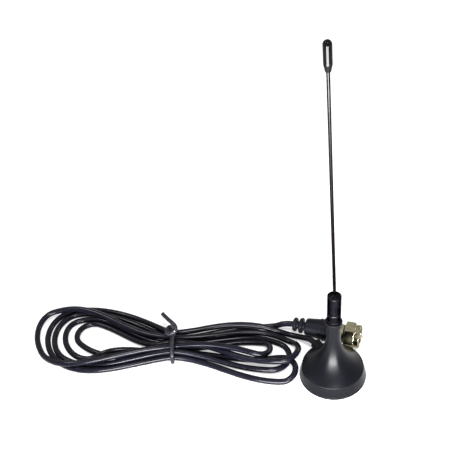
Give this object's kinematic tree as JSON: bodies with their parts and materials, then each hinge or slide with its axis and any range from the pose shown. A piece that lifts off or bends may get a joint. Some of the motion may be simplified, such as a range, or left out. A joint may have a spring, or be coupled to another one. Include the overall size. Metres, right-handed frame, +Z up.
{
  "type": "tv antenna",
  "caption": "Small magnetic-base whip antenna: black bell base, sleeve and thin rod with bullet tip, coaxial cable tied in a hank, moulded plug with a turning hex coupling nut",
  "frame": {"origin": "centre of the base's foot on the surface that it stands on", "axes": "+Z up along the base's axis, +X to the right and +Y away from the viewer of the picture; the whip leans slightly towards -X"},
  "size_m": [0.158, 0.0703, 0.1659],
  "materials": {
    "housing_plastic": "satin moulded black",
    "foot_rubber": "soft matt black",
    "magnet_ferrite": "sintered dark grey",
    "plate_steel": "zinc plated sheet",
    "insert_black": "black plated turned insert",
    "wire_copper": "bare copper",
    "braid_tinned": "tinned braid",
    "sleeve_metal": "black plated",
    "whip_metal": "black chrome",
    "tip_plastic": "glossy black",
    "cable_jacket": "smooth black jacket",
    "tie_plastic": "dark coated wire",
    "boot_plastic": "fine matt moulding",
    "nut_nickel": "nickel plated",
    "insulator_plastic": "white moulding",
    "pin_metal": "tinned pin"
  },
  "bodies": {
    "antenna": {"base_housing": "housing_plastic", "ground_plate": "plate_steel", "base_magnet": "magnet_ferrite", "foot_pad": "foot_rubber", "neck_insert": "insert_black", "feed_wire": "wire_copper", "braid_tail": "braid_tinned", "mast_sleeve": "sleeve_metal", "whip_rod": "whip_metal", "whip_tip": "tip_plastic", "cable_lead_base": "cable_jacket", "cable_hank": "cable_jacket", "cable_lead_plug": "cable_jacket", "twist_tie": "tie_plastic", "plug_boot": "boot_plastic", "plug_ferrule": "nut_nickel", "plug_post": "nut_nickel", "plug_insulator": "insulator_plastic", "plug_pin": "pin_metal"},
    "coupling_nut": {"plug_nut": "nut_nickel"}
  },
  "joints": [
    {"name": "nut_spin", "type": "hinge", "parent": "antenna", "child": "coupling_nut", "pos_m": [0.01068, 0.01819, 0.0055], "axis": [0.9285, -0.3714, 0], "continuous": true}
  ]
}
